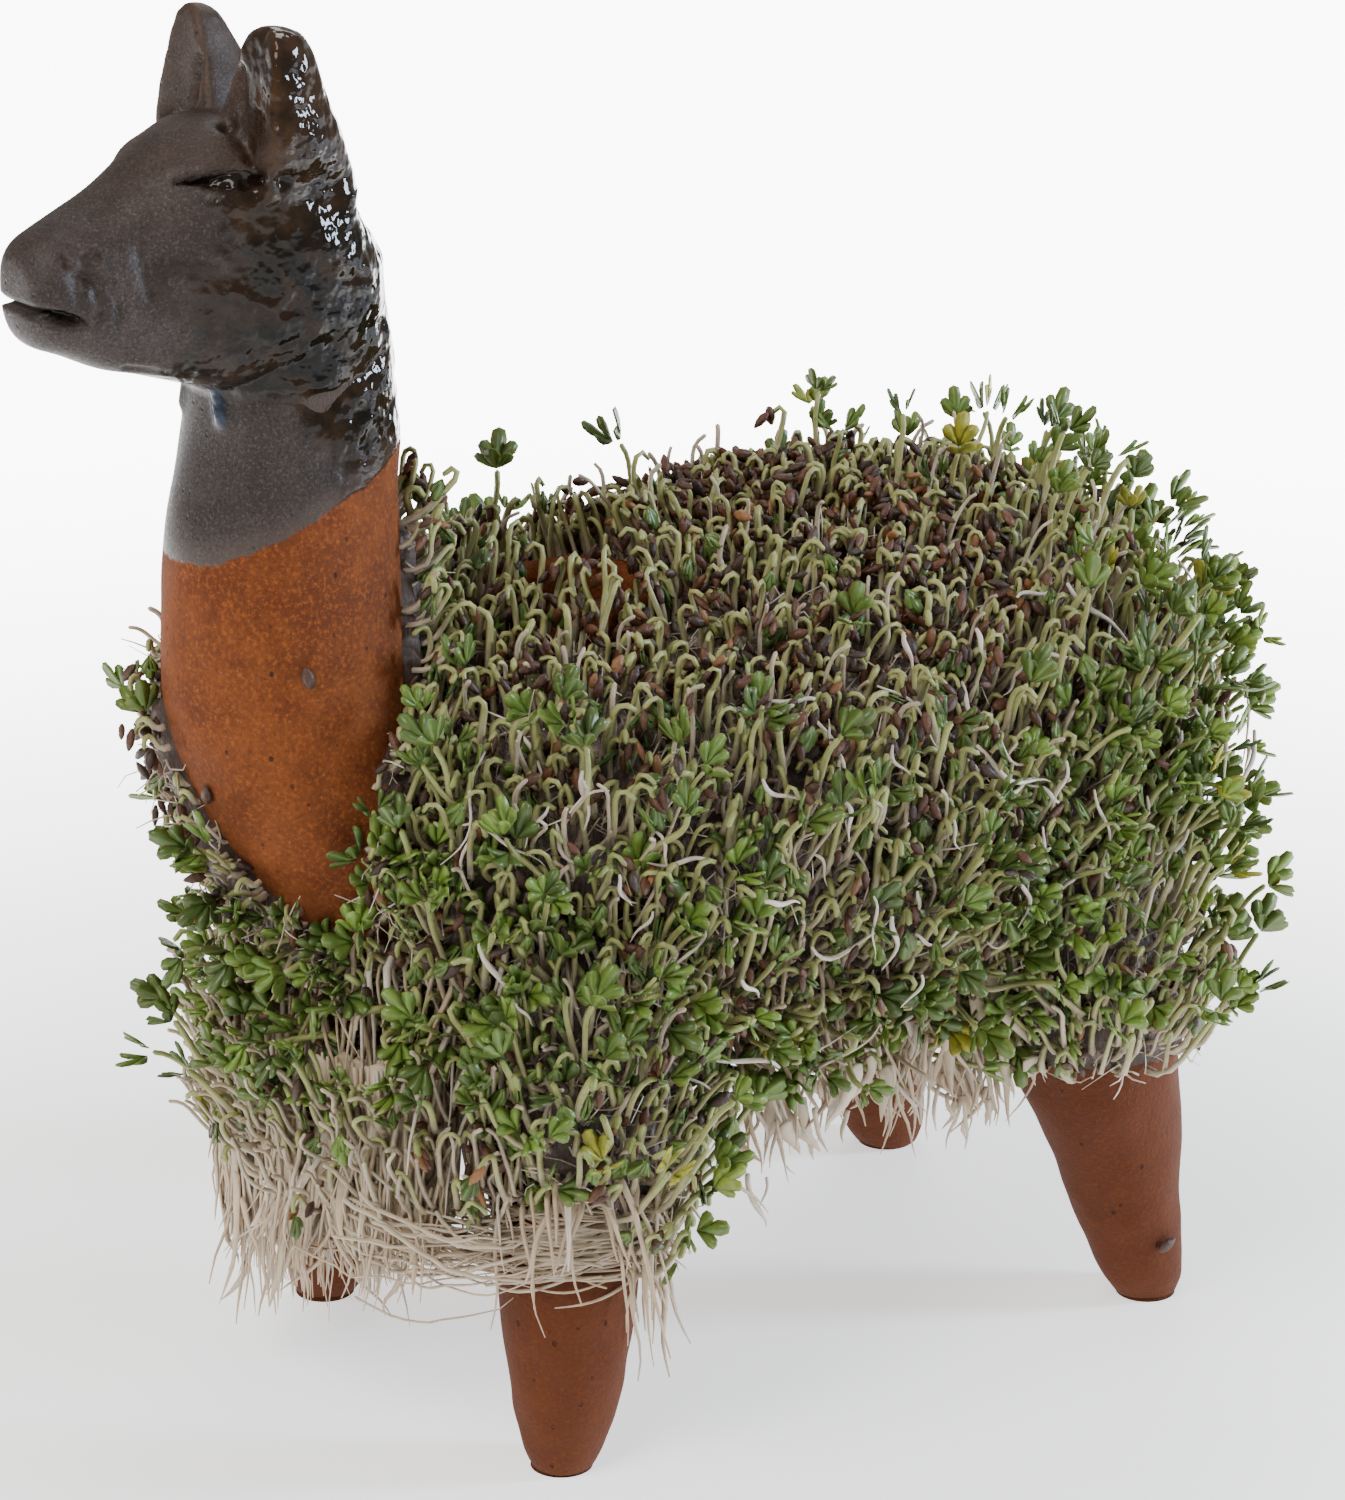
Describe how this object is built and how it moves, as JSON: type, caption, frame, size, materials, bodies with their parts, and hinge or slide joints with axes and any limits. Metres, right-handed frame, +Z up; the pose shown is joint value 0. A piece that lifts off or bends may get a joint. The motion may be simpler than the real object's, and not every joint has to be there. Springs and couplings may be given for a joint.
{
  "type": "llama planter",
  "caption": "Hollow terracotta llama on four legs with a glazed head, a filling opening in its back and a coat of living cress sprouts.",
  "frame": {"origin": "on the table, under the middle of the whole object", "axes": "+Z up; the llama looks along -Y; its left side is +X"},
  "size_m": [0.0901, 0.1628, 0.1705],
  "materials": {
    "terracotta": "matt, sandy, unglazed",
    "glaze": "dark brown-black glaze, from satin to glossy",
    "sprouts": "fresh leaves, pale stems and brown seed coats",
    "roots": "soft, pale roots",
    "seeds": "wet brown seed coat"
  },
  "bodies": {
    "root": {"body_shell": "terracotta", "fill_rim": "terracotta", "front_left_leg": "terracotta", "front_right_leg": "terracotta", "rear_left_leg": "terracotta", "rear_right_leg": "terracotta", "neck": "terracotta", "head": "glaze", "left_ear": "glaze", "right_ear": "glaze", "chest_sprouts": "sprouts", "collar_sprouts": "sprouts", "withers_sprouts": "sprouts", "left_flank_sprouts": "sprouts", "right_flank_sprouts": "sprouts", "back_sprouts": "sprouts", "rump_sprouts": "sprouts", "chest_roots": "roots", "left_hanging_roots": "roots", "right_hanging_roots": "roots", "left_leg_sprouts": "sprouts", "right_leg_sprouts": "sprouts", "stray_seeds": "seeds"}
  },
  "joints": []
}
